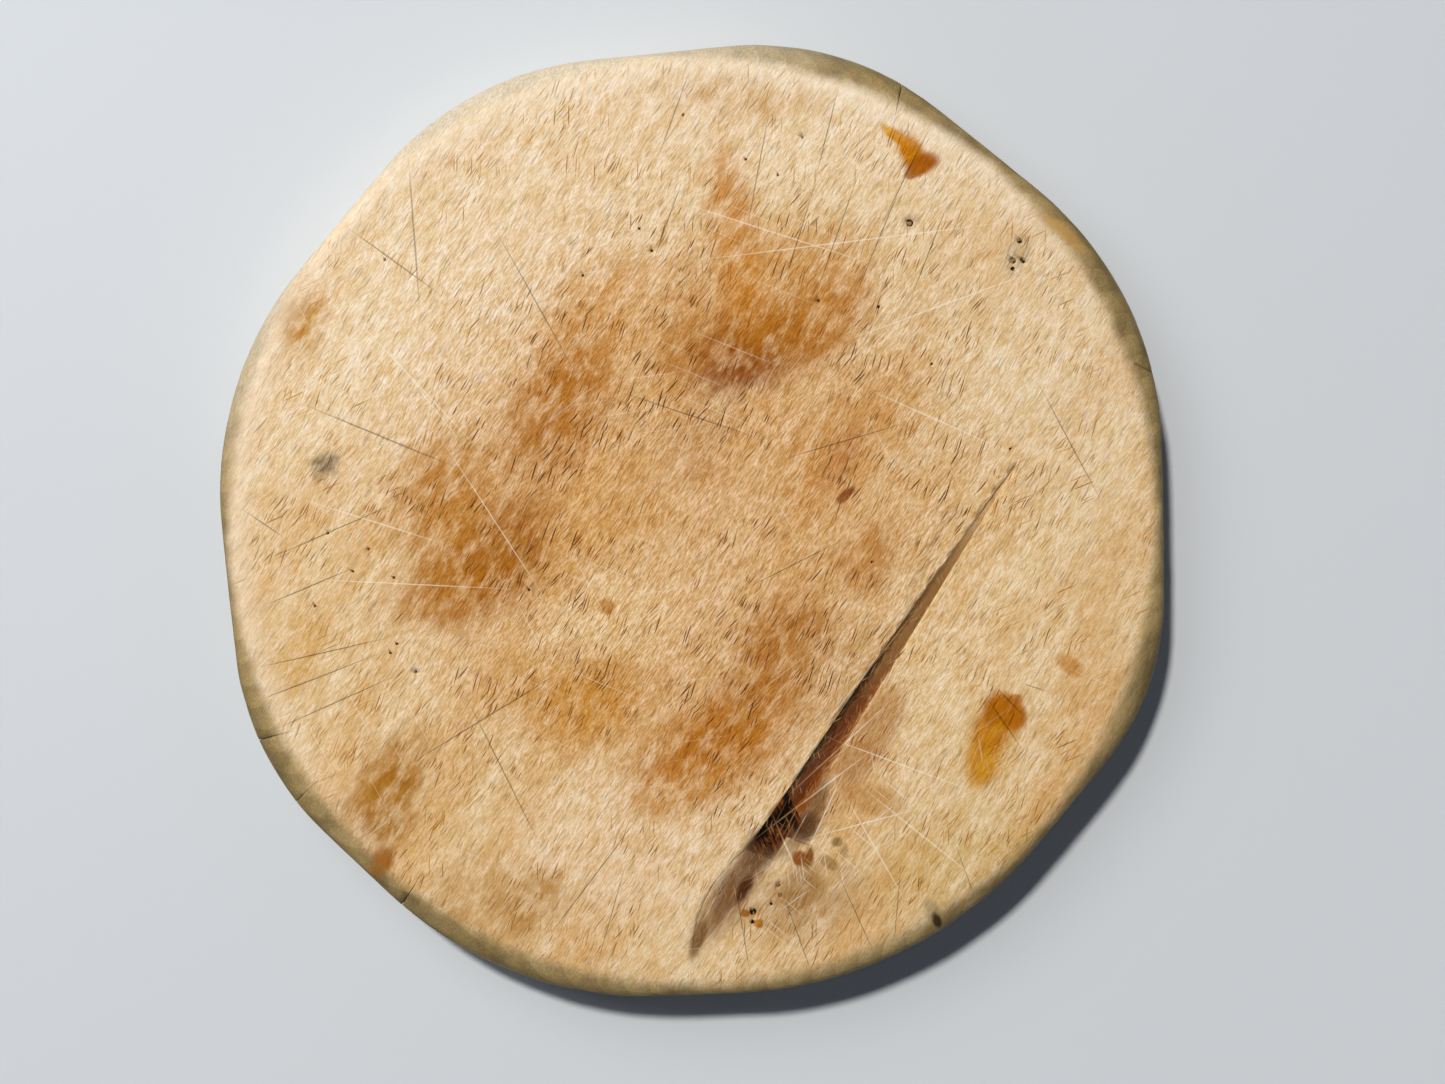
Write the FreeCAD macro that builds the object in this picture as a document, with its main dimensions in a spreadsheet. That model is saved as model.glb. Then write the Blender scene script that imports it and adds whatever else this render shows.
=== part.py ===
import FreeCAD, Part

import math
import os

import Sketcher
from FreeCAD import Vector

# Round hardwood cutting board, cut with eight blunt sides from one slab of beech. The slab holds what grew in
# it: a bark seam in two lengths, the dead knot between them and a few pin knots.
# Frame: millimetres, +Z up, origin under the middle of the board on the face that it rests on, grain running
# up to the right at about 57 degrees from +X.

# Side by side round the board: direction that the side faces (degrees from +X), its distance from the centre
# and the radius of the blunt corner after it.
SIDES = [
    (1, 150.5, 105),
    (51, 152, 90),
    (96, 150, 95),
    (140, 148, 110),
    (186, 150, 90),
    (227, 153.5, 115),
    (272, 151.5, 130),
    (320, 151, 80),
]

# Pin knots: x, y, diameter. Five below the dead knot, then five near the upper right rim.
PIN_KNOTS = [
    (19.2, -124.2, 2.2),
    (19.0, -127.4, 1.4),
    (27.2, -115.8, 1.4),
    (27.8, -119.0, 1.2),
    (25.0, -121.8, 1.0),
    (101.8, 82.8, 2.0),
    (105.0, 82.8, 1.8),
    (101.8, 80.2, 1.4),
    (104.0, 89.0, 1.6),
    (69.0, 94.8, 2.4),
]

# Everything else that sets the board's shape, with what it measures.
SIZES = [
    ("underside", 0, "height of the face that the board rests on"),
    ("thickness", 28, "underside to working face"),
    ("waste_reach", 158, "how far out the rounding of the rim is turned, just clear of the blunt corners"),
    ("face_edge", 143, "radius at which the working face starts to fall"),
    ("face_fall", 20, "radius of the curve by which the working face falls to the rim"),
    ("base_edge", 138, "radius at which the underside starts to rise"),
    ("base_rise", 24, "radius of the curve by which the underside rises to the rim"),
    ("rim_softening", 4, "rounding where the two curves meet the sides"),
    ("seam_depth", 17, "depth of the bark seam and the dead knot, which stop short of the underside"),
    ("pin_depth", 9, "depth of the pin knots"),
    ("upper_tip_x", 103.5, "far end of the upper seam"),
    ("upper_tip_y", 19, ""),
    ("knot_top_x", 30, "where the seam's crisp edge meets the knot"),
    ("knot_top_y", -86, ""),
    ("shoulder_x", 44, "where the upper seam is widest"),
    ("shoulder_y", -78, ""),
    ("knot_right_x", 38, "the knot's right corner"),
    ("knot_right_y", -102, ""),
    ("knot_notch_x", 30, "the notch of sound wood in the knot's right side"),
    ("knot_notch_y", -100.5, ""),
    ("knot_low_x", 25.5, "the knot's lower corner"),
    ("knot_low_y", -108, ""),
    ("knot_left_x", 17, "the knot's left corner"),
    ("knot_left_y", -104.5, ""),
    ("lower_tip_x", 0, "far end of the lower seam"),
    ("lower_tip_y", -138, ""),
    ("upper_bow", 2500, "radius of the upper seam's crisp edge"),
    ("shoulder_bow", 50, "radius of the upper seam's edge beside the knot"),
    ("lower_bow", 42, "radius of the lower seam's left edge"),
]

UP = Vector(0, 0, 1)

doc = FreeCAD.newDocument("cutting_board")
sheet = doc.addObject("Spreadsheet::Sheet", "Sizes")


def fill_sheet():
    """Writes one row per driving dimension: value in A, meaning in B."""
    rows = list(SIZES)
    for number, (faces, distance, corner) in enumerate(SIDES, start=1):
        rows.append((f"side_{number}_faces", faces, "direction the side faces, degrees from +X"))
        rows.append((f"side_{number}_reach", distance, "distance of the side from the centre"))
        rows.append((f"side_{number}_corner", corner, "radius of the corner after the side"))
    for number, (x, y, diameter) in enumerate(PIN_KNOTS, start=1):
        rows.append((f"pin_{number}_x", x, "pin knot, across"))
        rows.append((f"pin_{number}_y", y, "pin knot, along"))
        rows.append((f"pin_{number}_width", diameter, "pin knot, diameter"))
    for row, (alias, value, meaning) in enumerate(rows, start=1):
        sheet.set(f"A{row}", str(value))
        sheet.setAlias(f"A{row}", alias)
        sheet.set(f"B{row}", meaning)
    doc.recompute()


def size(alias):
    return float(sheet.get(alias))


def new_body(name):
    body = doc.addObject("PartDesign::Body", name)
    body.Label = name
    return body


def plane_sketch(body, name, role):
    """A sketch on one of the body's own origin planes."""
    sketch = body.newObject("Sketcher::SketchObject", name)
    plane = next(feature for feature in body.Origin.OriginFeatures if feature.Role == role)
    sketch.AttachmentSupport = [(plane, "")]
    sketch.MapMode = "FlatFace"
    return sketch


def bind(sketch, constraint, expression):
    """Adds a constraint whose value follows an expression on the sheet."""
    index = sketch.addConstraint(constraint)
    sketch.setExpression(f"Constraints[{index}]", expression)


def corner_centre(side, following):
    """Centre of the arc that rounds the corner between two neighbouring sides."""
    first = math.radians(size(f"side_{side}_faces"))
    second = math.radians(size(f"side_{following}_faces"))
    radius = size(f"side_{side}_corner")
    inset_first = size(f"side_{side}_reach") - radius
    inset_second = size(f"side_{following}_reach") - radius
    turn = math.sin(second - first)
    x = (inset_first * math.sin(second) - inset_second * math.sin(first)) / turn
    y = (inset_second * math.cos(first) - inset_first * math.cos(second)) / turn
    return Vector(x, y, 0)


def eight_sided_outline(sketch):
    """Eight straight sides joined by tangent arcs, all held by the sheet."""
    count = len(SIDES)
    numbers = range(1, count + 1)
    after = {number: number % count + 1 for number in numbers}
    before = {after[number]: number for number in numbers}
    facing = {number: math.radians(size(f"side_{number}_faces")) for number in numbers}
    normal = {number: Vector(math.cos(facing[number]), math.sin(facing[number]), 0) for number in numbers}
    centre = {number: corner_centre(number, after[number]) for number in numbers}
    radius = {number: size(f"side_{number}_corner") for number in numbers}
    lines = {}
    arcs = {}
    for number in numbers:
        start = centre[before[number]] + normal[number] * radius[before[number]]
        end = centre[number] + normal[number] * radius[number]
        lines[number] = sketch.addGeometry(Part.LineSegment(start, end))
        finish = facing[after[number]]
        if finish < facing[number]:
            finish += 2 * math.pi
        circle = Part.Circle(centre[number], UP, radius[number])
        arcs[number] = sketch.addGeometry(Part.ArcOfCircle(circle, facing[number], finish))
    for number in numbers:
        sketch.addConstraint(Sketcher.Constraint("Tangent", lines[number], 2, arcs[number], 1))
        sketch.addConstraint(Sketcher.Constraint("Tangent", arcs[number], 2, lines[after[number]], 1))
    for number in numbers:
        side = f"Sizes.side_{number}"
        reach = size(f"side_{number}_reach")
        direction = (facing[number] + math.pi / 2) % (2 * math.pi)
        bind(sketch, Sketcher.Constraint("Distance", -1, 1, lines[number], reach), f"{side}_reach")
        bind(sketch, Sketcher.Constraint("Radius", arcs[number], radius[number]), f"{side}_corner")
        bind(sketch, Sketcher.Constraint("Angle", lines[number], direction),
             f"mod({side}_faces + 90; 360) * 1 deg")


def corner_point(name):
    return Vector(size(f"{name}_x"), size(f"{name}_y"), 0)


def arc_edge(sketch, start, end, radius):
    """An arc that runs anticlockwise about its centre from start to end."""
    chord = end - start
    half = chord.Length / 2
    inward = Vector(-chord.y, chord.x, 0).normalize()
    centre = start + chord / 2 + inward * math.sqrt(radius * radius - half * half)
    first = math.atan2(start.y - centre.y, start.x - centre.x)
    last = math.atan2(end.y - centre.y, end.x - centre.x)
    if last < first:
        last += 2 * math.pi
    circle = Part.Circle(centre, UP, radius)
    return sketch.addGeometry(Part.ArcOfCircle(circle, first, last))


def inclusion_outline(sketch, edges):
    """Closed outline of named corners. Each edge is (start, end, alias of its bow, or None if it is straight)."""
    made = []
    for start, end, bow in edges:
        if bow is None:
            line = Part.LineSegment(corner_point(start), corner_point(end))
            made.append(sketch.addGeometry(line))
        else:
            made.append(arc_edge(sketch, corner_point(start), corner_point(end), size(bow)))
    for index, (start, end, bow) in enumerate(edges):
        edge = made[index]
        following = made[(index + 1) % len(made)]
        sketch.addConstraint(Sketcher.Constraint("Coincident", edge, 2, following, 1))
        bind(sketch, Sketcher.Constraint("DistanceX", edge, 1, size(f"{start}_x")), f"Sizes.{start}_x")
        bind(sketch, Sketcher.Constraint("DistanceY", edge, 1, size(f"{start}_y")), f"Sizes.{start}_y")
        if bow is not None:
            bind(sketch, Sketcher.Constraint("Radius", edge, size(bow)), f"Sizes.{bow}")


def inclusion(name, edges):
    """A blind piece of bark or dead wood, flush with the working face."""
    body = new_body(name)
    sketch = plane_sketch(body, f"{name}_outline", "XY_Plane")
    sketch.setExpression("AttachmentOffset.Base.z", "Sizes.thickness - Sizes.seam_depth")
    inclusion_outline(sketch, edges)
    pad = body.newObject("PartDesign::Pad", f"{name}_pad")
    pad.Profile = sketch
    pad.setExpression("Length", "Sizes.seam_depth")
    doc.recompute()
    return body


def bark_seam_upper():
    return inclusion("bark_seam_upper", [
        ("upper_tip", "knot_top", "upper_bow"),
        ("knot_top", "knot_right", None),
        ("knot_right", "shoulder", "shoulder_bow"),
        ("shoulder", "upper_tip", None),
    ])


def dead_knot():
    return inclusion("dead_knot", [
        ("knot_top", "knot_left", None),
        ("knot_left", "knot_low", None),
        ("knot_low", "knot_notch", None),
        ("knot_notch", "knot_right", None),
        ("knot_right", "knot_top", None),
    ])


def bark_seam_lower():
    return inclusion("bark_seam_lower", [
        ("knot_left", "lower_tip", "lower_bow"),
        ("lower_tip", "knot_low", None),
        ("knot_low", "knot_left", None),
    ])


def pin_knots():
    """The small knots, each a peg of dead wood of its own, kept together as one group."""
    pegs = []
    for number in range(1, len(PIN_KNOTS) + 1):
        peg = doc.addObject("Part::Cylinder", f"pin_{number}")
        peg.setExpression("Radius", f"Sizes.pin_{number}_width / 2")
        peg.setExpression("Height", "Sizes.pin_depth")
        peg.setExpression("Placement.Base.x", f"Sizes.pin_{number}_x")
        peg.setExpression("Placement.Base.y", f"Sizes.pin_{number}_y")
        peg.setExpression("Placement.Base.z", "Sizes.thickness - Sizes.pin_depth")
        pegs.append(peg)
    group = doc.addObject("Part::Compound", "pin_knots")
    group.Label = "pin_knots"
    group.Links = pegs
    doc.recompute()
    return group


def waste_profile(sketch, level, falls, edge, bow):
    """Section of the waste turned off the rim on one face, in the XZ plane.

    level is the face's height, falls says whether the curve goes down from it or up, and edge and bow are the
    aliases of the radius where the curve leaves the face and of the curve's own radius.
    """
    radius = size(bow)
    side = -1 if falls else 1
    centre = Vector(size(edge), size(level) + side * radius, 0)
    across = size("waste_reach") - size(edge)
    height = centre.y - side * math.sqrt(radius * radius - across * across)
    leaves = Vector(size(edge), size(level), 0)
    outermost = Vector(size("waste_reach"), height, 0)
    corner = Vector(size("waste_reach"), size(level), 0)
    ends = [outermost, leaves] if falls else [leaves, outermost]
    angles = [math.atan2(end.y - centre.y, end.x - centre.x) for end in ends]
    arc = sketch.addGeometry(Part.ArcOfCircle(Part.Circle(centre, UP, radius), *angles))
    wall = sketch.addGeometry(Part.LineSegment(outermost, corner))
    top = sketch.addGeometry(Part.LineSegment(corner, leaves))
    outermost_end, leaves_end = (1, 2) if falls else (2, 1)
    sketch.addConstraint(Sketcher.Constraint("Coincident", arc, outermost_end, wall, 1))
    sketch.addConstraint(Sketcher.Constraint("Coincident", wall, 2, top, 1))
    sketch.addConstraint(Sketcher.Constraint("Tangent", top, 2, arc, leaves_end))
    sketch.addConstraint(Sketcher.Constraint("Vertical", wall))
    sketch.addConstraint(Sketcher.Constraint("Horizontal", top))
    bind(sketch, Sketcher.Constraint("Radius", arc, radius), f"Sizes.{bow}")
    bind(sketch, Sketcher.Constraint("DistanceX", arc, 3, centre.x), f"Sizes.{edge}")
    bind(sketch, Sketcher.Constraint("DistanceY", top, 1, corner.y), f"Sizes.{level}")
    bind(sketch, Sketcher.Constraint("DistanceX", top, 1, corner.x), "Sizes.waste_reach")


def turned_off(body, name, level, falls, edge, bow):
    """Turns the waste off one face's rim, all the way round."""
    before = body.Tip.Shape.Volume
    sketch = plane_sketch(body, f"{name}_waste", "XZ_Plane")
    waste_profile(sketch, level, falls, edge, bow)
    groove = body.newObject("PartDesign::Groove", f"{name}_groove")
    groove.Profile = sketch
    groove.ReferenceAxis = (sketch, ["V_Axis"])
    groove.Angle = 360
    doc.recompute()
    removed = before - groove.Shape.Volume
    if removed < 1:
        raise RuntimeError(f"{name}_groove cuts nothing")
    print(f"{name}: {removed / 1000:.2f} cm3 turned off")
    return groove


def ring_edges(shape, lowest, highest):
    """Names of the edges that lie wholly between two heights."""
    names = []
    for index, edge in enumerate(shape.Edges, start=1):
        box = edge.BoundBox
        if box.ZMin > lowest and box.ZMax < highest:
            names.append(f"Edge{index}")
    return names


def slab_blank():
    """The slab before anything is let into it: sawn outline, both faces eased over to the rim, corners softened."""
    body = new_body("slab_blank")
    outline = plane_sketch(body, "sawn_outline", "XY_Plane")
    eight_sided_outline(outline)
    pad = body.newObject("PartDesign::Pad", "sawn_slab")
    pad.Profile = outline
    pad.setExpression("Length", "Sizes.thickness")
    doc.recompute()
    turned_off(body, "working_face", "thickness", True, "face_edge", "face_fall")
    base = turned_off(body, "underside", "underside", False, "base_edge", "base_rise")
    clear = 0.01
    middle = size("thickness") / 2
    soft = body.newObject("PartDesign::Fillet", "soft_rim")
    upper = ring_edges(base.Shape, middle, size("thickness") - clear)
    lower = ring_edges(base.Shape, clear, middle)
    soft.Base = (base, upper + lower)
    soft.setExpression("Radius", "Sizes.rim_softening")
    doc.recompute()
    return body


def board_slab(blank, inclusions):
    """The slab with a pocket for every inclusion, each pocket cut by the inclusion that sits in it."""
    pockets = doc.addObject("Part::Compound", "pockets")
    pockets.Links = inclusions
    slab = doc.addObject("Part::Cut", "board_slab")
    slab.Label = "board_slab"
    slab.Base = blank
    slab.Tool = pockets
    doc.recompute()
    return slab


def check(parts):
    """Stops the run if anything in the document failed or a piece has no sound shape."""
    for item in doc.Objects:
        if "Invalid" in item.State or "Error" in item.State:
            raise RuntimeError(f"{item.Name} failed: {item.State}")
    for item in parts:
        if item.Shape.isNull() or not item.Shape.isValid():
            raise RuntimeError(f"{item.Label} has no sound shape")
    for item in doc.findObjects("Sketcher::SketchObject"):
        if item.solve() != 0:
            raise RuntimeError(f"{item.Name} isn't solved")


def write(parts):
    os.makedirs("parts", exist_ok=True)
    for item in parts:
        item.Shape.exportStep(f"parts/{item.Label}.step")
        box = item.Shape.optimalBoundingBox()
        print(f"{item.Label}: {item.Shape.Volume / 1000:.2f} cm3, {len(item.Shape.Solids)} solids, "
              f"x {box.XMin:.2f}..{box.XMax:.2f}, y {box.YMin:.2f}..{box.YMax:.2f}, "
              f"z {box.ZMin:.2f}..{box.ZMax:.2f}")


fill_sheet()
inclusions = [bark_seam_upper(), dead_knot(), bark_seam_lower(), pin_knots()]
blank = slab_blank()
slab = board_slab(blank, inclusions)
parts = [slab] + inclusions
check(parts)
whole = sum(item.Shape.Volume for item in parts)
print(f"blank {blank.Shape.Volume / 1000:.2f} cm3, pieces together {whole / 1000:.2f} cm3")
write(parts)
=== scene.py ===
import math

import bmesh
import bpy
from mathutils import Matrix, Vector, noise
from mathutils.bvhtree import BVHTree


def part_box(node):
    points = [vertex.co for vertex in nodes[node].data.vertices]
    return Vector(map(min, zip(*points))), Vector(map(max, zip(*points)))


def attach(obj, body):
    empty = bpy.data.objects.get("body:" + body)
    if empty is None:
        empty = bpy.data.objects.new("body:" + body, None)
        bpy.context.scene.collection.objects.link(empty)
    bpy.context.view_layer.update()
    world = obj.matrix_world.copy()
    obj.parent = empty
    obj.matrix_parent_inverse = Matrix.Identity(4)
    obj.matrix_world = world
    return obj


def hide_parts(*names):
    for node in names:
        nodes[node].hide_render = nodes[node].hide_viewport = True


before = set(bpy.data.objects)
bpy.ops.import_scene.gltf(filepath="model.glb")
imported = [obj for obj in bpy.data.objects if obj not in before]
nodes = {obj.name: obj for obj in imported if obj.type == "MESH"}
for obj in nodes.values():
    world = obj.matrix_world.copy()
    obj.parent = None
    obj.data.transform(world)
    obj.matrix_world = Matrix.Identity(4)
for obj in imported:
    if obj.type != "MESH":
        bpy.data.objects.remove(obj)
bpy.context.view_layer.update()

# Cutting board: one worn beech slab with a bark seam, a dead knot and pin knots grown into it.
mm = 0.001
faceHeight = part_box("board_slab")[1].z
grainTurn = 57  # degrees from +X, the way the grain and the bark seam run
alongGrain = (0, 0, math.radians(grainTurn))
creaseDegrees = 35


def linear(hexColour):
    # sRGB hex to linear RGBA
    channels = [int(hexColour[i:i + 2], 16) / 255 for i in (1, 3, 5)]
    return [c / 12.92 if c <= 0.04045 else ((c + 0.055) / 1.055) ** 2.4 for c in channels] + [1.0]


def addNode(tree, kind, inputs=None, **settings):
    # Adds a node, sets and links it, and gives back its first live output.
    made = tree.nodes.new("ShaderNode" + kind)
    for name, value in settings.items():
        setattr(made, name, value)
    for key, value in (inputs or {}).items():
        live = [s for s in made.inputs if s.enabled and s.name == key]
        socket = live[0] if live else made.inputs[key]
        if isinstance(value, bpy.types.NodeSocket):
            tree.links.new(value, socket)
        else:
            socket.default_value = value
    return next((s for s in made.outputs if s.enabled), None)


def newPiece(name, bm):
    # Smooth shaded, with creases where faces meet more sharply than creaseDegrees.
    mesh = bpy.data.meshes.new(name)
    bm.to_mesh(mesh)
    bm.free()
    mesh.polygons.foreach_set("use_smooth", [True] * len(mesh.polygons))
    mesh.set_sharp_from_angle(angle=math.radians(creaseDegrees))
    made = bpy.data.objects.new(name, mesh)
    bpy.context.scene.collection.objects.link(made)
    return made


# Shape of the slab
slabShape = {
    "cells": 96,              # grid cells across each face
    "rimSteps": 30,           # rings down the rim
    "spine": 130 * mm,        # radius of the ring inside the slab from which the rim is felt out
    "upTo": 62,               # highest and lowest ray, degrees above the horizontal
    "downTo": -72,
    "dish": 0.5 * mm,         # the middle is worn hollow by this much
    "dishRadius": 125 * mm,
    "ripple": 0.12 * mm,      # uneven wear across the face
    "rippleLength": 34 * mm,
    "waver": 0.35 * mm,       # hand-rasped unevenness of the rim
    "waverLength": 24 * mm,
}


def smooth(t):
    t = min(max(t, 0.0), 1.0)
    return t * t * (3 - 2 * t)


def wornLevel(x, y):
    # Height of the working face after wear.
    radius = math.hypot(x, y)
    inside = 1 - smooth((radius - 0.6 * slabShape["dishRadius"]) / (0.4 * slabShape["dishRadius"]))
    hollow = slabShape["dish"] * (1 - smooth(radius / slabShape["dishRadius"]))
    ripple = slabShape["ripple"] * noise.noise(Vector((x, y, 0)) / slabShape["rippleLength"]) * inside
    return faceHeight - hollow - abs(ripple)


def cadSkin():
    # Every CAD node in one tree, so that the filled pockets read as a closed face.
    points = []
    faces = []
    for node in nodes.values():
        start = len(points)
        points.extend(v.co.copy() for v in node.data.vertices)
        faces.extend([start + i for i in p.vertices] for p in node.data.polygons)
    return BVHTree.FromPolygons(points, faces)


def rimPoint(skin, angle, tilt):
    # Where a ray from inside the slab leaves it, felt from outside.
    outward = Vector((math.cos(angle) * math.cos(tilt), math.sin(angle) * math.cos(tilt), math.sin(tilt)))
    spine = slabShape["spine"]
    start = Vector((spine * math.cos(angle), spine * math.sin(angle), faceHeight / 2))
    reach = 100 * mm
    hit = skin.ray_cast(start + outward * reach, -outward)[0]
    return hit


def discGrid(bm, cells, radius, height):
    # A grid drawn out to a round disc, so that its cells stay nearly square.
    made = bmesh.ops.create_grid(bm, x_segments=cells, y_segments=cells, size=1.0)["verts"]
    for v in made:
        x, y = v.co.x, v.co.y
        v.co = Vector((x * math.sqrt(1 - y * y / 2) * radius, y * math.sqrt(1 - x * x / 2) * radius, height))
    return made


def slabBlank():
    skin = cadSkin()
    shape = slabShape
    bm = bmesh.new()
    half = faceHeight / 2
    faceRadius = shape["spine"] + half / math.tan(math.radians(shape["upTo"]))
    baseRadius = shape["spine"] + half / math.tan(math.radians(-shape["downTo"]))
    discGrid(bm, shape["cells"], faceRadius, faceHeight)
    edges = [e for e in bm.edges if e.is_boundary]
    base = discGrid(bm, shape["cells"], baseRadius, 0)
    bmesh.ops.reverse_faces(bm, faces=list({f for v in base for f in v.link_faces}))
    for step in range(1, shape["rimSteps"] + 1):
        share = step / shape["rimSteps"]
        tilt = math.radians(shape["upTo"] + (shape["downTo"] - shape["upTo"]) * share)
        made = bmesh.ops.extrude_edge_only(bm, edges=edges)["geom"]
        ring = [g for g in made if isinstance(g, bmesh.types.BMVert)]
        for v in ring:
            angle = math.atan2(v.co.y, v.co.x)
            v.co = rimPoint(skin, angle, tilt)
            if step < shape["rimSteps"]:
                away = math.sin(math.pi * share)
                shift = noise.noise(v.co / shape["waverLength"]) * shape["waver"] * away
                v.co -= Vector((math.cos(angle), math.sin(angle), 0)) * abs(shift)
        edges = [g for g in made if isinstance(g, bmesh.types.BMEdge) and g.is_boundary]
    bmesh.ops.remove_doubles(bm, verts=bm.verts, dist=0.02 * mm)
    for v in bm.verts:
        if v.co.z > faceHeight - 0.01 * mm:
            v.co.z = wornLevel(v.co.x, v.co.y)
    bmesh.ops.recalc_face_normals(bm, faces=bm.faces)
    return bm


pinHoles = {
    "width": 1.1 * mm,
    "depth": 3 * mm,
    "clear": 1 * mm,  # how far each cutter stands above the face
    "foot": 0.35,     # radius at the bottom of the hole, as a share of its width
    "lean": 8,        # degrees
    "places": [
        (40, 70), (59, 68), (76, 50), (35, 122), (-3, 129), (27, 110), (17, 115), (-116, -4), (-103, -9),
        (-108, -16), (-95, -18), (-120, -27), (-94, -39), (-96, -42), (-88, -48), (-17, 93), (-13, 86),
        (-35, 78), (-98, 83), (101, 23), (57, -13), (-52, -22),
    ],
}

# Cracks in the rim: bearing, turn off the radial, length, width at the rim, depth (degrees and mm)
rimChecks = [
    {"bearing": 64.8, "turn": 12, "length": 6, "width": 0.35, "depth": 15},
    {"bearing": 233, "turn": 4, "length": 8, "width": 0.35, "depth": 20},
    {"bearing": 206.5, "turn": -10, "length": 5, "width": 0.30, "depth": 16},
    {"bearing": 215.5, "turn": 8, "length": 3, "width": 0.25, "depth": 12},
    {"bearing": 16, "turn": -40, "length": 2, "width": 0.40, "depth": 5},
]


def drillPinHoles(bm):
    for x, y in pinHoles["places"]:
        depth = pinHoles["depth"] + pinHoles["clear"]
        middle = faceHeight + pinHoles["clear"] - depth / 2
        lean = Matrix.Rotation(math.radians(pinHoles["lean"]), 4, Vector((math.cos(x), math.sin(x), 0)))
        bmesh.ops.create_cone(bm, cap_ends=True, segments=12, radius1=pinHoles["width"] * pinHoles["foot"],
                              radius2=pinHoles["width"] / 2, depth=depth,
                              matrix=Matrix.Translation((x * mm, y * mm, middle)) @ lean)


def splitRim(bm):
    # Each crack is a thin blade that is widest outside the rim and dies away inwards.
    outside = 160 * mm
    overRim = 12 * mm   # from the outside point in to the rim
    clear = 1 * mm
    tip = 0.05 * mm
    for check in rimChecks:
        depth = check["depth"] * mm + clear
        length = check["length"] * mm + overRim
        made = bmesh.ops.create_cube(bm, size=1.0)["verts"]
        for v in made:
            inner = v.co.x < 0
            below = v.co.z < 0
            v.co.y *= tip if inner else check["width"] * mm * (0.5 if below else 1.6)
            v.co.x = -length if inner else 0
            v.co.z = -depth * (0.35 if inner else 1) if below else clear
        turn = Matrix.Rotation(math.radians(check["turn"]), 4, "Z")
        place = Matrix.Rotation(math.radians(check["bearing"]), 4, "Z")
        place = place @ Matrix.Translation((outside, 0, faceHeight))
        bmesh.ops.transform(bm, verts=made, matrix=place @ turn)


def pocketCutters(bm):
    # The inclusions themselves, drawn up through the face.
    for name in ("bark_seam_upper", "bark_seam_lower", "dead_knot", "pin_knots"):
        before = set(bm.verts)
        bm.from_mesh(nodes[name].data)
        added = [v for v in bm.verts if v not in before]
        bmesh.ops.remove_doubles(bm, verts=added, dist=0.001 * mm)
        for v in bm.verts:
            if v not in before and v.co.z > faceHeight - 0.1 * mm:
                v.co.z = faceHeight + 1 * mm


def cutAway(piece, cutters):
    # Boolean, applied to the mesh.
    knife = newPiece("knife", cutters)
    cut = piece.modifiers.new("cut", "BOOLEAN")
    cut.operation = "DIFFERENCE"
    cut.solver = "EXACT"
    cut.use_self = True
    cut.object = knife
    depsgraph = bpy.context.evaluated_depsgraph_get()
    result = bpy.data.meshes.new_from_object(piece.evaluated_get(depsgraph))
    piece.modifiers.remove(cut)
    piece.data = result
    result.set_sharp_from_angle(angle=math.radians(creaseDegrees))
    bpy.data.objects.remove(knife)


slab = newPiece("boardSlab", slabBlank())
print("slab blank:", len(slab.data.polygons), "faces")
cutters = bmesh.new()
pocketCutters(cutters)
drillPinHoles(cutters)
splitRim(cutters)
bmesh.ops.recalc_face_normals(cutters, faces=cutters.faces)
cutAway(slab, cutters)
slab.data.name = "boardSlab"
print("slab with pockets, pin holes and rim checks:", len(slab.data.polygons), "faces")


# Bark, knot and pin knots, each in its own pocket
seamLine = {
    "start": Vector((30, -86)) * mm,      # where the crisp edge meets the knot
    "along": Vector((73.5, 105)).normalized(),
    "length": 128 * mm,
}
relief = {
    "cell": 1.1 * mm,
    "band": 2 * mm,          # the relief goes no deeper than this
    "crack": 0.5 * mm,       # the bark has shrunk away from its crisp edge
    "crackWidth": 0.8 * mm,
    "fibre": 0.12 * mm,
    "fibreSize": (0.9 * mm, 9 * mm),   # across and along the bark
    "knot": 0.6 * mm,
    "knotSize": 2.2 * mm,
    "lowerShare": 0.3,       # the lower bark is as rough as the knot, but shallower
    "pin": 0.15 * mm,
}


def barkSink(x, y):
    offset = Vector((x, y)) - seamLine["start"]
    across = offset.x * seamLine["along"].y - offset.y * seamLine["along"].x
    crack = relief["crack"] * (1 - smooth(abs(across) / relief["crackWidth"]))
    wide, long = relief["fibreSize"]
    fibre = relief["fibre"] * abs(noise.noise(Vector((across / wide, offset.length / long, 0))))
    return crack + fibre


def knotSink(x, y):
    rough = abs(noise.noise(Vector((x, y, 0)) / relief["knotSize"]))
    return relief["fibre"] + relief["knot"] * rough * rough


def lowerBarkSink(x, y):
    return relief["lowerShare"] * knotSink(x, y)


def pinSink(x, y):
    return relief["pin"]


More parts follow.
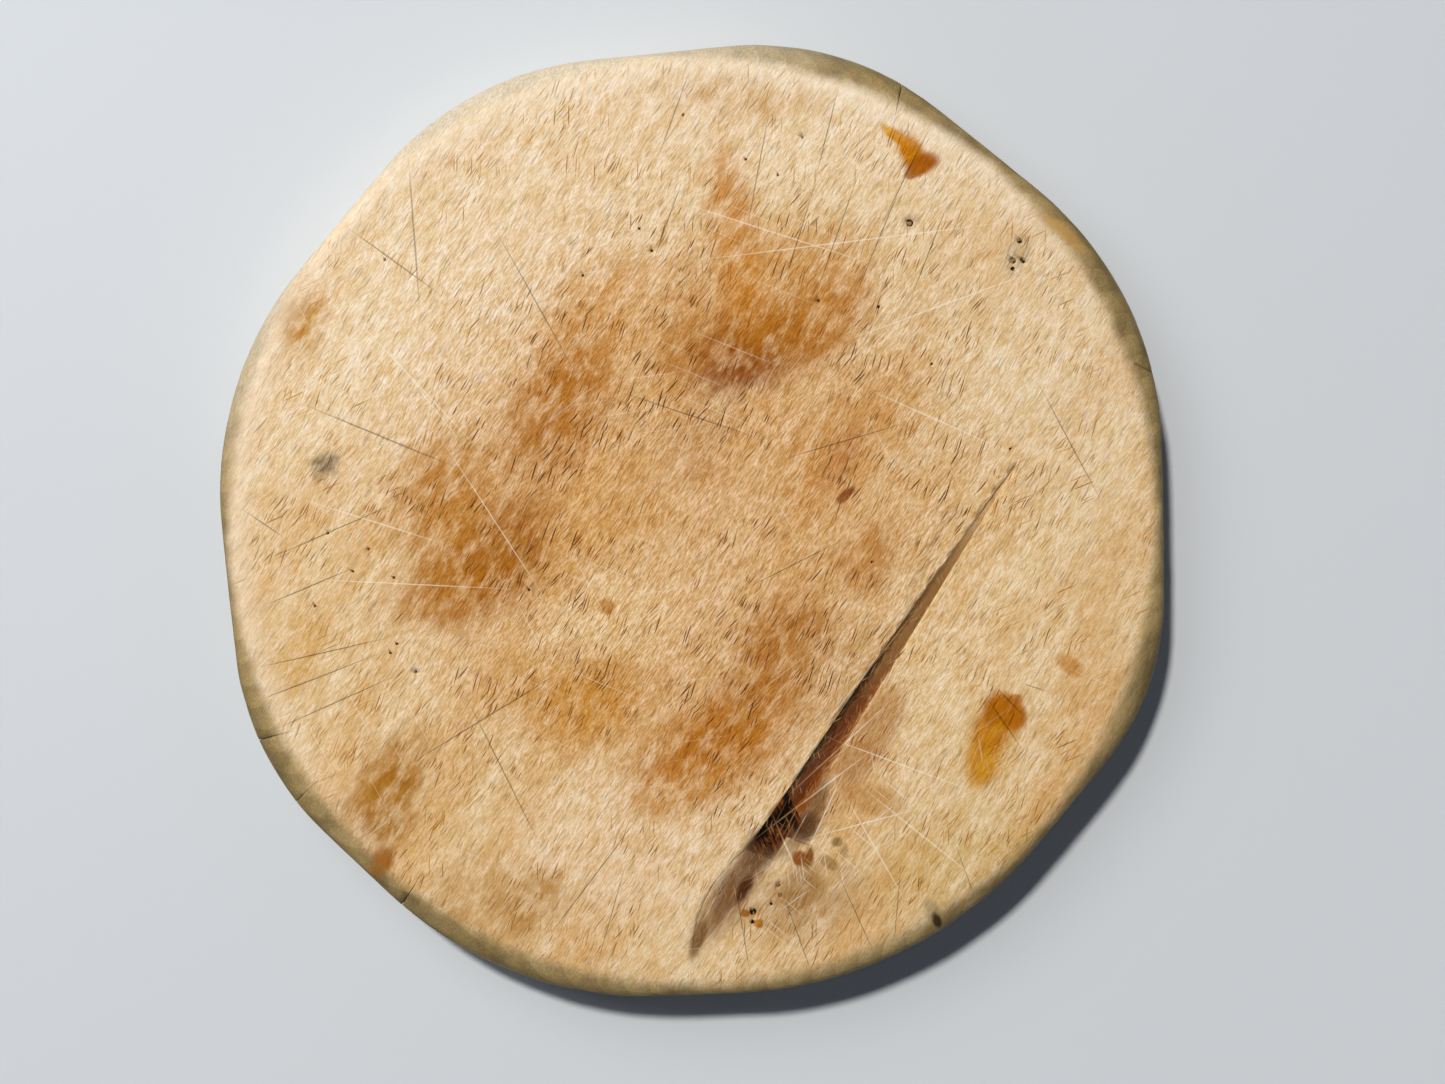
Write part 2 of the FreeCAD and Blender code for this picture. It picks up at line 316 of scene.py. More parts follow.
def inclusionPiece(name, node, sink):
    # A merged copy of the CAD solid, cut into small cells so that its top can be worked.
    bm = bmesh.new()
    bm.from_mesh(nodes[node].data)
    bmesh.ops.remove_doubles(bm, verts=bm.verts, dist=0.001 * mm)
    bmesh.ops.dissolve_limit(bm, angle_limit=math.radians(1), verts=bm.verts, edges=bm.edges)
    low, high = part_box(node)
    cuts = [(Vector((0, 0, high.z - relief["band"])), Vector((0, 0, 1)))]
    for axis, unit in ((0, Vector((1, 0, 0))), (1, Vector((0, 1, 0)))):
        count = int((high[axis] - low[axis]) / relief["cell"])
        cuts.extend((unit * (low[axis] + relief["cell"] * (i + 0.5)), unit) for i in range(count))
    for place, facing in cuts:
        everything = list(bm.verts) + list(bm.edges) + list(bm.faces)
        bmesh.ops.bisect_plane(bm, geom=everything, dist=0.001 * mm, plane_co=place, plane_no=facing)
    for v in bm.verts:
        if v.co.z > faceHeight - 0.1 * mm:
            v.co.z = wornLevel(v.co.x, v.co.y) - sink(v.co.x, v.co.y)
    bmesh.ops.recalc_face_normals(bm, faces=bm.faces)
    return newPiece(name, bm)


seamUpper = inclusionPiece("barkSeamUpper", "bark_seam_upper", barkSink)
seamLower = inclusionPiece("barkSeamLower", "bark_seam_lower", lowerBarkSink)
deadKnot = inclusionPiece("deadKnot", "dead_knot", knotSink)
pinKnots = inclusionPiece("pinKnots", "pin_knots", pinSink)
for piece in (seamUpper, seamLower, deadKnot, pinKnots):
    print(piece.name, len(piece.data.polygons), "faces")


# Worn beech: pale tan, short dark flecks along the grain, brown wear, knife cuts, olive hand-polished rim
scoured = [  # paler parts, less used or scrubbed bare: place, size along and across, turn, colour, strength
    ((-72, 92), (95, 48), 48, "#FCEBD0", 0.60),
    ((40, 128), (75, 22), -12, "#FCEBD0", 0.60),
    ((104, 62), (60, 30), -58, "#F8E6C8", 0.45),
    ((78, -36), (46, 30), 57, "#F6E0B8", 0.45),
    ((-28, -32), (26, 14), 30, "#F6DDB0", 0.45),
    ((-22, -106), (34, 22), 10, "#FBE6CA", 0.50),
]
wear = [  # broad brown wear, in the same order
    ((34, -121), (22, 11), 10, "#B08A5C", 0.55),
    ((-72, -120), (16, 10), 30, "#C09050", 0.50),
    ((2, 24), (14, 10), 50, "#C08A50", 0.45),
    ((52, -48), (18, 9), 57, "#BC8840", 0.50),
    ((18, 56), (22, 13), 20, "#904A00", 1.0),
    ((31, 74), (25, 17), 35, "#D09030", 0.65),
    ((13, 91), (27, 8), 98, "#D08C2A", 0.75),
    ((44, 64), (16, 11), 45, "#BC7A1E", 0.65),
    ((-4, 60), (20, 9), 80, "#C88A34", 0.55),
    ((-33, 61), (27, 14), 60, "#D6983A", 0.60),
    ((-43, 35), (25, 13), 62, "#B87408", 0.80),
    ((-64, -12), (23, 14), 45, "#AC6A00", 0.92),
    ((-79, 7), (20, 14), 70, "#C08010", 0.80),
    ((-80, -22), (19, 9), 20, "#BA7A18", 0.70),
    ((9, -70), (27, 13), 30, "#BE780A", 0.90),
    ((-36, -57), (23, 14), -12, "#CE902A", 0.75),
    ((28, -41), (20, 13), 55, "#B47414", 0.78),
    ((-1, -86), (13, 7), 20, "#CC9030", 0.60),
    ((-98, -89), (21, 10), 62, "#B07810", 0.92),
    ((-125, -44), (14, 7), 80, "#D6A64C", 0.50),
    ((-52, -122), (13, 8), 30, "#B68430", 0.70),
    ((15, 135), (24, 7), -5, "#D4A86E", 0.50),
    ((50, 29), (26, 13), 40, "#CE923C", 0.50),
    ((56, -12), (12, 9), 50, "#C08230", 0.65),
    ((-125, 64), (10, 7), 70, "#C89028", 0.90),
    ((85, -108), (26, 14), 20, "#D0B064", 0.45),
    ((-27, 0), (22, 14), 50, "#D49C42", 0.50),
    ((-117, 17), (4.6, 2.8), 60, "#4E4A38", 0.75),
]
stains = [  # sharper stains and marks, in the same order
    ((64.5, 122.5), (5.5, 1.8), -38, "#E0A01C", 1.0),
    ((69.5, 117.5), (6.5, 3.6), -62, "#D48C0C", 1.0),
    ((73, 113.5), (5.5, 3.4), 22, "#B06408", 1.0),
    ((70.5, 110.5), (3.5, 1.5), 20, "#A86410", 0.9),
    ((95, -70), (17, 9), 74, "#D8A850", 0.55),
    ((92.3, -75.5), (9, 4.8), 78, "#D09210", 0.90),
    ((95, -66.5), (6.5, 5.8), 60, "#C8850C", 0.90),
    ((99.2, -60.6), (6.6, 5.4), -48, "#BE7400", 0.95),
    ((102.6, -62.6), (3.6, 4.2), 0, "#B66E00", 0.90),
    ((96.4, -60.4), (4.6, 3.6), 60, "#B46C00", 0.90),
    ((102.6, -56.6), (2.2, 1.8), 0, "#B87408", 0.80),
    ((-27.3, -27.3), (2.8, 2.6), 0, "#C4851C", 0.75),
    ((-99.5, -108.4), (6, 3.2), 45, "#A86408", 0.95),
    ((120, -46), (5, 2.6), -30, "#C88A2C", 0.65),
    ((48.7, 8.3), (3.8, 1.5), 45, "#883E04", 0.85),
    ((47, 20), (12, 5), 60, "#B8763A", 0.45),
    ((34.2, -107.4), (2.4, 2.6), 70, "#8E5204", 0.95),
    ((37, -107.2), (3.6, 1.5), 86, "#8A5004", 0.95),
    ((43.5, -108.6), (3.6, 1.8), -35, "#96703A", 0.60),
    ((46, -102), (1.8, 1.4), 0, "#80602A", 0.70),
    ((48.2, -105), (2.6, 1.4), 80, "#9A7C4C", 0.50),
    ((34, -118), (9, 6), 60, "#A0763A", 0.60),
    ((69.5, 95), (3.2, 2.2), 40, "#A88258", 0.30),
    ((103, 84), (6.5, 4), 60, "#B8A282", 0.40),
    ((16.6, -124.8), (1.5, 1.3), 0, "#A86C14", 0.95),
    ((21, -128), (1.9, 1.4), 0, "#B47414", 0.95),
    ((73.5, -14), (18, 1.6), 65.6, "#A07644", 0.25),
    ((46, -84), (17, 7), 57, "#C08C4C", 0.40),
    ((56, -69), (18, 7), 56, "#B88244", 0.65),
    ((58, -89), (10, 5), -20, "#C08A40", 0.50),
    ((9, -124), (15, 6), 52, "#A07A54", 0.50),
]
rimMarks = [  # stains that run over the rim, in the same order
    ((76.8, -124.8), (5, 2.4), -62, "#8A7A58", 0.55),
    ((77.8, -127.3), (2.5, 1.3), -65, "#33200E", 0.90),
    ((-99.5, -110), (5, 3), 45, "#A06414", 0.60),
    ((118, 92), (9, 2.2), -40, "#C89A50", 0.60),
]
barkMarks = [  # the bark's own colour along the lower seam, which bleeds into the wood beside it
    ((37, -91), (10, 5), 62, "#6E4622", 0.75),
    ((35.5, -98), (5.5, 4), 50, "#4E2A14", 0.80),
    ((29.5, -104), (5, 3), 30, "#94704A", 0.60),
    ((21.5, -104.5), (8, 5), 55, "#5E3618", 0.85),
    ((14, -115), (12, 5), 52, "#7A583A", 0.80),
    ((16.3, -117), (5, 1.9), 60, "#4C240C", 0.90),
    ((9.5, -123), (9.5, 2.3), 62, "#86603E", 0.70),
    ((1.8, -133), (7, 2.1), 72, "#765432", 0.80),
]
darkCuts = [  # knife cuts that have taken up dirt: from, to, width
    ((97.3, -53.7), (104.8, -61.5), 0.50), ((94.8, -57.9), (103.7, -71), 0.45),
    ((102.5, -60.7), (100.3, -65.8), 0.45), ((94.8, -54.9), (90.6, -61), 0.45),
    ((106, -52), (112, -54), 0.30), ((22, -97), (38, -103.5), 0.50),
    ((-119, 35), (-80, 19), 0.45), ((-90, 111), (-87, 71), 0.45), ((-108, 92), (-83, 74), 0.40),
    ((-45, -50), (-86, -75), 0.40), ((-130, -10), (-98, 4), 0.35), ((-60, 88), (-40, 52), 0.35),
    ((-141.7, 2.7), (-131, -4.6), 0.35), ((-20, 40), (16, 28), 0.30), ((30, 20), (64, 30), 0.30),
    ((-70, -60), (-50, -100), 0.35), ((-20, -98), (-44, -130), 0.30), ((112, 40), (128, 10), 0.35),
    ((62, 98), (74, 122), 0.35), ((-10, 118), (-2, 140), 0.35), ((20, -20), (44, -8), 0.30),
    ((52, 108), (40, 74), 0.30), ((38, 104), (30, 78), 0.30), ((66, 106), (52, 72), 0.30),
    ((24, 128), (18, 96), 0.30), ((80, 98), (70, 72), 0.30), ((46, 136), (40, 112), 0.30),
    ((-4, 106), (-12, 84), 0.30), ((-135, -46), (-100, -38), 0.35), ((-140, -58), (-104, -44), 0.35),
    ((-132, -66), (-96, -50), 0.30), ((-134, -26), (-110, -16), 0.35), ((14, -118), (18, -142), 0.22),
    ((30, -122), (38, -144), 0.22), ((48, -116), (58, -138), 0.22), ((66, -112), (64, -136), 0.22),
    ((-22, -112), (-30, -140), 0.22), ((84, -104), (92, -126), 0.22),
]
paleCuts = [  # fresher cuts, whose torn fibres stay light
    ((10, 84), (92, 94), 0.45), ((56, 60), (105, 78), 0.45), ((53, -76), (24, -98), 0.55),
    ((47, -82), (37, -104), 0.50), ((26, -95), (33, -111), 0.50), ((70, -30), (44, -62), 0.40),
    ((-119.5, 5.4), (-83, -6), 0.40), ((-118, -18.7), (-64, -21.4), 0.35), ((-105, 62), (-72, 27), 0.40),
    ((-98, 56), (-76, 28), 0.30), ((60, 40), (96, 24), 0.40), ((70, -92), (40, -100), 0.45),
    ((84, -84), (46, -70), 0.40), ((50, -90), (66, -118), 0.45), ((58, -88), (88, -112), 0.45),
    ((34, -84), (60, -60), 0.45), ((-76, 20), (-50, -20), 0.35), ((0, 100), (50, 84), 0.40),
]

beechLook = {
    "pale": "#F0D8B0", "tan": "#E4BE88", "heart": "#DFB078",
    "ringSpacing": 3.2,            # mm, one year's growth
    "pithDepth": 110,              # mm, how far under the board the tree's heart lies
    "fibre": (2.2, 0.38, 0.38),    # mm, length, width and depth of the fuzzy fibres
    "flecks": (9, 1.1, 1.1),       # mm, cell in which one ray fleck lies
    "cloud": (70, 22, 22), "mottle": (9, 4, 4), "grime": (26, 9, 5),   # mm, size of each unevenness
    "heartwood": (40, 120), "busy": (60, 125), "crowds": (60, 130),    # mm, radii over which each dies away
    "topAndFoot": (50, 110), "sides": (60, 120),                       # mm, over which each comes in
    "strandDark": (0.80, 0.64, 0.40, 1), "strandPale": (1.12, 1.21, 1.44, 1),   # the fibres tint the wood
    "cloudDark": (0.92, 0.85, 0.70, 1), "cloudPale": (1.05, 1.08, 1.14, 1),     # and so does uneven wear
    # The torn colour serves the torn fibres and also paints a highlight band inside the face's edge on the
    # side facing the key light.
    "dirt": "#4C2A10", "stroke": "#5A300A", "tornAndHighlight": "#FFF6E4",
    "nickEdge": (0.90, 0.72, 0.46, 1),         # stain that has crept out of each nick
    "nicks": [  # turn, cell length, cell width, share of the face: 0 all of it, 1 top and foot, 2 sides
        (59, 12, 0.9, 0), (72, 17, 0.95, 0), (48, 14, 0.9, 0), (65, 8, 0.8, 0), (88, 16, 0.9, 1),
        (24, 20, 1.0, 2),
    ],
    "hairs": [(62, 34, 1.2), (98, 28, 1.2), (36, 40, 1.4), (-40, 36, 1.4)],   # turn, cell length, cell width
    "hairyPatch": ((46, -100), (58, 34), 30),   # scratched pale all round the knot: place, size, turn
    "scratches": [(8, 150, 1.7), (38, 130, 1.9), (66, 170, 1.8), (118, 140, 2.2), (-22, 160, 2.0)],
    "nickReach": 0.26, "scratchReach": 0.11, "hairReach": 0.2,   # half the longest stroke, in cells
    "crowdSize": 24,               # mm, nicks come in crowds about this wide
    "scratchShare": 0.5, "fleckShare": 0.3, "cutShare": 0.5, "tornShare": 0.5,   # how strongly each shows
    "ringOnFace": 0.16, "ringOnRim": 0.3,                                        # and the year rings
    "wavers": {"ragged": (9, 9), "loose": (3, 1.6), "hand": (30, 2.2), "ruled": (9, 0.35)},  # mm, size, reach
    "faceRadius": 148.6,           # mm, where the flat face gives way to the rim
    "faceFade": (1.6, 3.6),        # mm, outside and inside that line
    "underFade": (0.9, 2.6),       # mm, heights between which the underside's colour ends
    "fraySize": 7, "fray": 3,      # mm, how that line wanders
    # The pale rim colour below and its share are partly real wear and partly a painted highlight on the side
    # facing the key light.
    "rimTop": "#B49C6C", "rim": "#8E7B4E", "rimDark": "#665735", "rimPaleAndHighlight": "#EADFC8",
    "rimFall": (27.2, 24),         # mm, heights between which the rim turns from its upper colour to its own
    "grimeShare": 0.6, "paleAndHighlightShare": 0.72, "rimStrand": 0.6,
    "wornAndLitSide": (-0.55, 0.84),     # the side of the rim facing the key light, worn pale and with a painted highlight, as X and Y
    "highlightRing": (12, 3), "highlightRingShare": 0.3,   # mm inside the face's edge, a painted highlight band on the side facing the key light
    "underside": "#B8986C",
    "fibreRise": 0.22, "nickDepth": 0.2, "cutDepth": 0.7,        # shares of the bump
    "rimRoughness": 0.42, "faceRoughness": 0.62,
    "bump": 0.22,                  # mm
}


markDepth = 12   # mm, how far a mark reaches below the face


def mark(tree, coords, place, size, turn, strength=1.0, soft=0.45):
    # A soft-edged patch: soft is how far its edge fades, in and out, as a share of its size.
    reach = [s * (1 + soft) * mm for s in (*size, markDepth)]
    local = addNode(tree, "Mapping", {
        "Vector": coords, "Location": (place[0] * mm, place[1] * mm, faceHeight),
        "Rotation": (0, 0, math.radians(turn)), "Scale": reach,
    }, vector_type="TEXTURE")
    ball = addNode(tree, "TexGradient", {"Vector": local}, gradient_type="SPHERICAL")
    return addNode(tree, "MapRange", {
        "Value": ball.node.outputs["Fac"], "From Min": 0.0, "From Max": 2 * soft / (1 + soft),
        "To Min": 0.0, "To Max": strength,
    }, interpolation_type="SMOOTHSTEP")


def paintMarks(tree, colour, coords, marks, soft):
    for place, size, turn, tone, strength in marks:
        share = mark(tree, coords, place, size, turn, strength, soft)
        colour = addNode(tree, "Mix", {"Factor": share, "A": colour, "B": linear(tone)}, data_type="RGBA")
    return colour


def addCuts(tree, work, coords, cuts):
    # A cut is a long thin mark that tapers at both ends.
    for start, end, width in cuts:
        along = Vector(end) - Vector(start)
        middle = (Vector(start) + Vector(end)) / 2
        turn = math.degrees(math.atan2(along.y, along.x))
        cut = mark(tree, coords, tuple(middle), (along.length / 2, width / 2), turn, soft=0.6)
        work = addNode(tree, "Math", {0: work, 1: cut}, operation="MAXIMUM")
    return work


def dashes(tree, coords, turn, length, width, reach):
    # Strokes scattered one to a cell, each with its own size and depth; reach is half the longest, in cells.
    cells = addNode(tree, "Mapping", {
        "Vector": coords, "Rotation": (0, 0, math.radians(turn)), "Scale": (length * mm, width * mm, mm),
    }, vector_type="TEXTURE")
    stroke = addNode(tree, "TexVoronoi", {"Vector": cells, "Scale": 1.0}, voronoi_dimensions="2D")
    draw = addNode(tree, "SeparateColor", {"Color": stroke.node.outputs["Color"]}).node.outputs
    chance = addNode(tree, "MapRange", {
        "Value": draw["Red"], "From Min": 0.4, "From Max": 1.1,
    }, interpolation_type="SMOOTHSTEP")
    beyond = addNode(tree, "Math", {0: chance, 1: -1.2 * reach, 2: stroke}, operation="MULTIPLY_ADD")
    share = addNode(tree, "MapRange", {
        "Value": beyond, "From Min": -0.6 * reach, "From Max": -0.05 * reach, "To Min": 1.0, "To Max": 0.0,
    }, interpolation_type="SMOOTHSTEP")
    depth = addNode(tree, "MapRange", {
        "Value": draw["Green"], "From Min": 0.0, "From Max": 0.8, "To Min": 0.35, "To Max": 1.0,
    }, interpolation_type="SMOOTHSTEP")
    return addNode(tree, "Math", {0: share, 1: depth}, operation="MULTIPLY")


def wavered(tree, coords, size, amount):
    # Coordinates shaken sideways by a noise, so that nothing has a ruled edge.
    shake = addNode(tree, "TexNoise", {"Vector": coords, "Scale": 1 / (size * mm), "Detail": 3.0})
    shift = addNode(tree, "VectorMath", {
        0: shake.node.outputs["Color"], 1: (amount * mm, amount * mm, 0),
        2: (-amount * mm / 2, -amount * mm / 2, 0),
    }, operation="MULTIPLY_ADD")
    return addNode(tree, "Mapping", {"Vector": coords, "Location": shift}, vector_type="POINT")


waveBand = 0.31416   # width of one band of a wave texture at scale 1


def wornBeech(tree):
    look = beechLook
    coords = addNode(tree, "TexCoord").node.outputs["Object"]
    axes = addNode(tree, "SeparateXYZ", {"Vector": coords}).node.outputs
    ragged = wavered(tree, coords, *look["wavers"]["ragged"])
    loose = wavered(tree, coords, *look["wavers"]["loose"])
    hand = wavered(tree, coords, *look["wavers"]["hand"])
    ruled = wavered(tree, coords, *look["wavers"]["ruled"])

    # where on the board
    flat = addNode(tree, "CombineXYZ", {"X": axes["X"], "Y": axes["Y"]})
    radius = addNode(tree, "VectorMath", {0: flat}, operation="LENGTH")
    frayed = addNode(tree, "TexNoise", {
        "Vector": coords, "Scale": 1 / (look["fraySize"] * mm), "Detail": 3.0,
    })
    edge = addNode(tree, "Math", {0: frayed, 1: look["fray"] * mm, 2: radius}, operation="MULTIPLY_ADD")
    faceEdge = (look["faceRadius"] + look["fray"] / 2) * mm
    plateau = addNode(tree, "MapRange", {
        "Value": edge, "From Min": faceEdge + look["faceFade"][0] * mm,
        "From Max": faceEdge - look["faceFade"][1] * mm,
    }, interpolation_type="SMOOTHSTEP")
    upperHalf = addNode(tree, "Math", {0: axes["Z"], 1: faceHeight / 2}, operation="GREATER_THAN")
    topFace = addNode(tree, "Math", {0: plateau, 1: upperHalf}, operation="MULTIPLY")
    under = addNode(tree, "MapRange", {
        "Value": axes["Z"], "From Min": look["underFade"][0] * mm, "From Max": look["underFade"][1] * mm,
        "To Min": 1.0, "To Max": 0.0,
    }, interpolation_type="SMOOTHSTEP")
    # most of the cutting is done in the middle
    busy = addNode(tree, "MapRange", {
        "Value": radius, "From Min": look["busy"][0] * mm, "From Max": look["busy"][1] * mm, "To Min": 1.0,
        "To Max": 0.6,
    }, interpolation_type="SMOOTHSTEP")
    endsY = addNode(tree, "Math", {0: axes["Y"]}, operation="ABSOLUTE")
    endsX = addNode(tree, "Math", {0: axes["X"]}, operation="ABSOLUTE")
    topAndFoot = addNode(tree, "MapRange", {
        "Value": endsY, "From Min": look["topAndFoot"][0] * mm, "From Max": look["topAndFoot"][1] * mm,
    }, interpolation_type="SMOOTHSTEP")
    sides = addNode(tree, "MapRange", {
        "Value": endsX, "From Min": look["sides"][0] * mm, "From Max": look["sides"][1] * mm,
    }, interpolation_type="SMOOTHSTEP")

    # sound wood
    grainwise = addNode(tree, "Mapping", {
        "Vector": coords, "Rotation": alongGrain, "Scale": [s * mm for s in look["cloud"]],
    }, vector_type="TEXTURE")
    cloudy = addNode(tree, "TexNoise", {"Vector": grainwise, "Scale": 1.0, "Detail": 3.0})
    fresh = addNode(tree, "Mix", {
        "Factor": addNode(tree, "MapRange", {
            "Value": cloudy, "From Min": 0.35, "From Max": 0.68,
        }, interpolation_type="SMOOTHSTEP"),
        "A": linear(look["pale"]), "B": linear(look["tan"]),
    }, data_type="RGBA")
    middle = addNode(tree, "MapRange", {
        "Value": radius, "From Min": look["heartwood"][0] * mm, "From Max": look["heartwood"][1] * mm,
        "To Min": 0.55, "To Max": 0.0,
    }, interpolation_type="SMOOTHSTEP")
    wood = addNode(tree, "Mix", {"Factor": middle, "A": fresh, "B": linear(look["heart"])}, data_type="RGBA")
    pith = addNode(tree, "Mapping", {
        "Vector": coords, "Location": (0, 0, -look["pithDepth"] * mm), "Rotation": alongGrain,
    }, vector_type="TEXTURE")
    rings = addNode(tree, "TexWave", {"Vector": pith, "Scale": waveBand / (look["ringSpacing"] * mm),
                                      "Distortion": 3.0, "Detail": 2.0, "Detail Scale": 0.12},
                    wave_type="RINGS", rings_direction="X", wave_profile="SAW")
    ringShade = addNode(tree, "MapRange", {
        "Value": rings.node.outputs["Fac"], "From Min": 0.2, "From Max": 1.0, "To Min": 0.0,
        "To Max": look["ringOnFace"],
    }, interpolation_type="SMOOTHSTEP")
    wood = addNode(tree, "Mix", {
        "Factor": ringShade, "A": wood, "B": linear(look["heart"]),
    }, data_type="RGBA")

    # wear and stains
    wood = paintMarks(tree, wood, ragged, scoured, soft=0.6)
    worn = paintMarks(tree, wood, ragged, wear, soft=0.6)
    mottle = addNode(tree, "Mapping", {
        "Vector": coords, "Rotation": alongGrain, "Scale": [s * mm for s in look["mottle"]],
    }, vector_type="TEXTURE")
    blotch = addNode(tree, "TexNoise", {"Vector": mottle, "Scale": 1.0, "Detail": 4.0, "Roughness": 0.6})
    wood = addNode(tree, "Mix", {
        "Factor": addNode(tree, "MapRange", {
            "Value": blotch, "From Min": 0.36, "From Max": 0.58, "To Min": 0.5, "To Max": 1.0,
        }, interpolation_type="SMOOTHSTEP"),
        "A": wood, "B": worn,
    }, data_type="RGBA")
    wood = paintMarks(tree, wood, loose, stains, soft=0.35)
    wood = paintMarks(tree, wood, loose, barkMarks, soft=0.45)

    # fibres, flecks and knife work
    strands = addNode(tree, "Mapping", {
        "Vector": hand, "Rotation": alongGrain, "Scale": [s * mm for s in look["fibre"]],
    }, vector_type="TEXTURE")
    fibre = addNode(tree, "TexNoise", {"Vector": strands, "Scale": 1.0, "Detail": 3.0, "Roughness": 0.65,
                                       "Distortion": 0.5})
    fleckCells = addNode(tree, "Mapping", {
        "Vector": hand, "Rotation": alongGrain, "Scale": [s * mm for s in look["flecks"]],
    }, vector_type="TEXTURE")
    fleckDots = addNode(tree, "TexVoronoi", {"Vector": fleckCells, "Scale": 1.0})
    flecks = addNode(tree, "MapRange", {
        "Value": fleckDots, "From Min": 0.14, "From Max": 0.34, "To Min": 1.0, "To Max": 0.0,
    }, interpolation_type="SMOOTHSTEP")
    crowd = addNode(tree, "TexNoise", {
        "Vector": coords, "Scale": 1 / (look["crowdSize"] * mm), "Detail": 2.0,
    })
    crowded = addNode(tree, "Math", {
        0: addNode(tree, "MapRange", {
            "Value": crowd, "From Min": 0.38, "From Max": 0.62, "To Min": 0.3, "To Max": 1.0,
        }, interpolation_type="SMOOTHSTEP"),
        1: addNode(tree, "MapRange", {
            "Value": radius, "From Min": look["crowds"][0] * mm, "From Max": look["crowds"][1] * mm,
            "To Min": 1.0, "To Max": 0.55,
        }, interpolation_type="SMOOTHSTEP"),
    }, operation="MULTIPLY")
    nickWork = 0.0
    for turn, length, width, where in look["nicks"]:
        one = dashes(tree, hand, turn, length, width, look["nickReach"])
        if where:
            one = addNode(tree, "Math", {
                0: one, 1: topAndFoot if where == 1 else sides,
            }, operation="MULTIPLY")
        nickWork = addNode(tree, "Math", {0: nickWork, 1: one}, operation="MAXIMUM")
    nickWork = addNode(tree, "Math", {0: nickWork, 1: crowded}, operation="MULTIPLY")
    nickWork = addNode(tree, "Math", {0: nickWork, 1: topFace}, operation="MULTIPLY")
    cutWork = addNode(tree, "Math", {
        0: addCuts(tree, 0.0, ruled, darkCuts), 1: topFace,
    }, operation="MULTIPLY")
    paleWork = 0.0
    for turn, length, width in look["scratches"]:
        paleWork = addNode(tree, "Math", {
            0: paleWork, 1: dashes(tree, ruled, turn, length, width, look["scratchReach"]),
        }, operation="MAXIMUM")
    paleWork = addNode(tree, "Math", {0: paleWork, 1: look["scratchShare"]}, operation="MULTIPLY")
    hairs = 0.0
    for turn, length, width in look["hairs"]:
        hairs = addNode(tree, "Math", {
            0: hairs, 1: dashes(tree, ruled, turn, length, width, look["hairReach"]),
        }, operation="MAXIMUM")
    hairy = mark(tree, ragged, *look["hairyPatch"], strength=0.8, soft=0.7)
    hairs = addNode(tree, "Math", {0: hairs, 1: hairy}, operation="MULTIPLY")
    paleWork = addNode(tree, "Math", {0: paleWork, 1: hairs}, operation="MAXIMUM")
    paleWork = addCuts(tree, paleWork, ruled, paleCuts)
    paleWork = addNode(tree, "Math", {0: paleWork, 1: topFace}, operation="MULTIPLY")

    strand = addNode(tree, "Mix", {
        "Factor": addNode(tree, "MapRange", {
            "Value": fibre, "From Min": 0.38, "From Max": 0.62,
        }, interpolation_type="SMOOTHSTEP"),
        "A": look["strandDark"], "B": look["strandPale"],
    }, data_type="RGBA")
    wood = addNode(tree, "Mix", {
        "Factor": busy, "A": wood, "B": strand,
    }, data_type="RGBA", blend_type="MULTIPLY")
    cloud = addNode(tree, "Mix", {
        "Factor": addNode(tree, "MapRange", {
            "Value": blotch, "From Min": 0.3, "From Max": 0.65,
        }, interpolation_type="SMOOTHSTEP"),
        "A": look["cloudPale"], "B": look["cloudDark"],
    }, data_type="RGBA")
    wood = addNode(tree, "Mix", {
        "Factor": 1.0, "A": wood, "B": cloud,
    }, data_type="RGBA", blend_type="MULTIPLY")
    wood = addNode(tree, "Mix", {
        "Factor": addNode(tree, "Math", {0: flecks, 1: look["fleckShare"]}, operation="MULTIPLY"),
        "A": wood, "B": linear(look["dirt"]),
    }, data_type="RGBA")
    wood = addNode(tree, "Mix", {
        "Factor": addNode(tree, "MapRange", {
            "Value": nickWork, "From Min": 0.0, "From Max": 0.3,
        }, interpolation_type="SMOOTHSTEP"),
        "A": wood, "B": look["nickEdge"],
    }, data_type="RGBA", blend_type="MULTIPLY")
    wood = addNode(tree, "Mix", {
        "Factor": addNode(tree, "MapRange", {
            "Value": nickWork, "From Min": 0.15, "From Max": 0.8,
        }, interpolation_type="SMOOTHSTEP"),
        "A": wood, "B": linear(look["stroke"]),
    }, data_type="RGBA")
    wood = addNode(tree, "Mix", {
        "Factor": addNode(tree, "Math", {0: cutWork, 1: look["cutShare"]}, operation="MULTIPLY"), "A": wood,
        "B": linear(look["dirt"]),
    }, data_type="RGBA")
    wood = addNode(tree, "Mix", {
        "Factor": addNode(tree, "Math", {0: paleWork, 1: look["tornShare"]}, operation="MULTIPLY"),
        "A": wood, "B": linear(look["tornAndHighlight"]),
    }, data_type="RGBA")
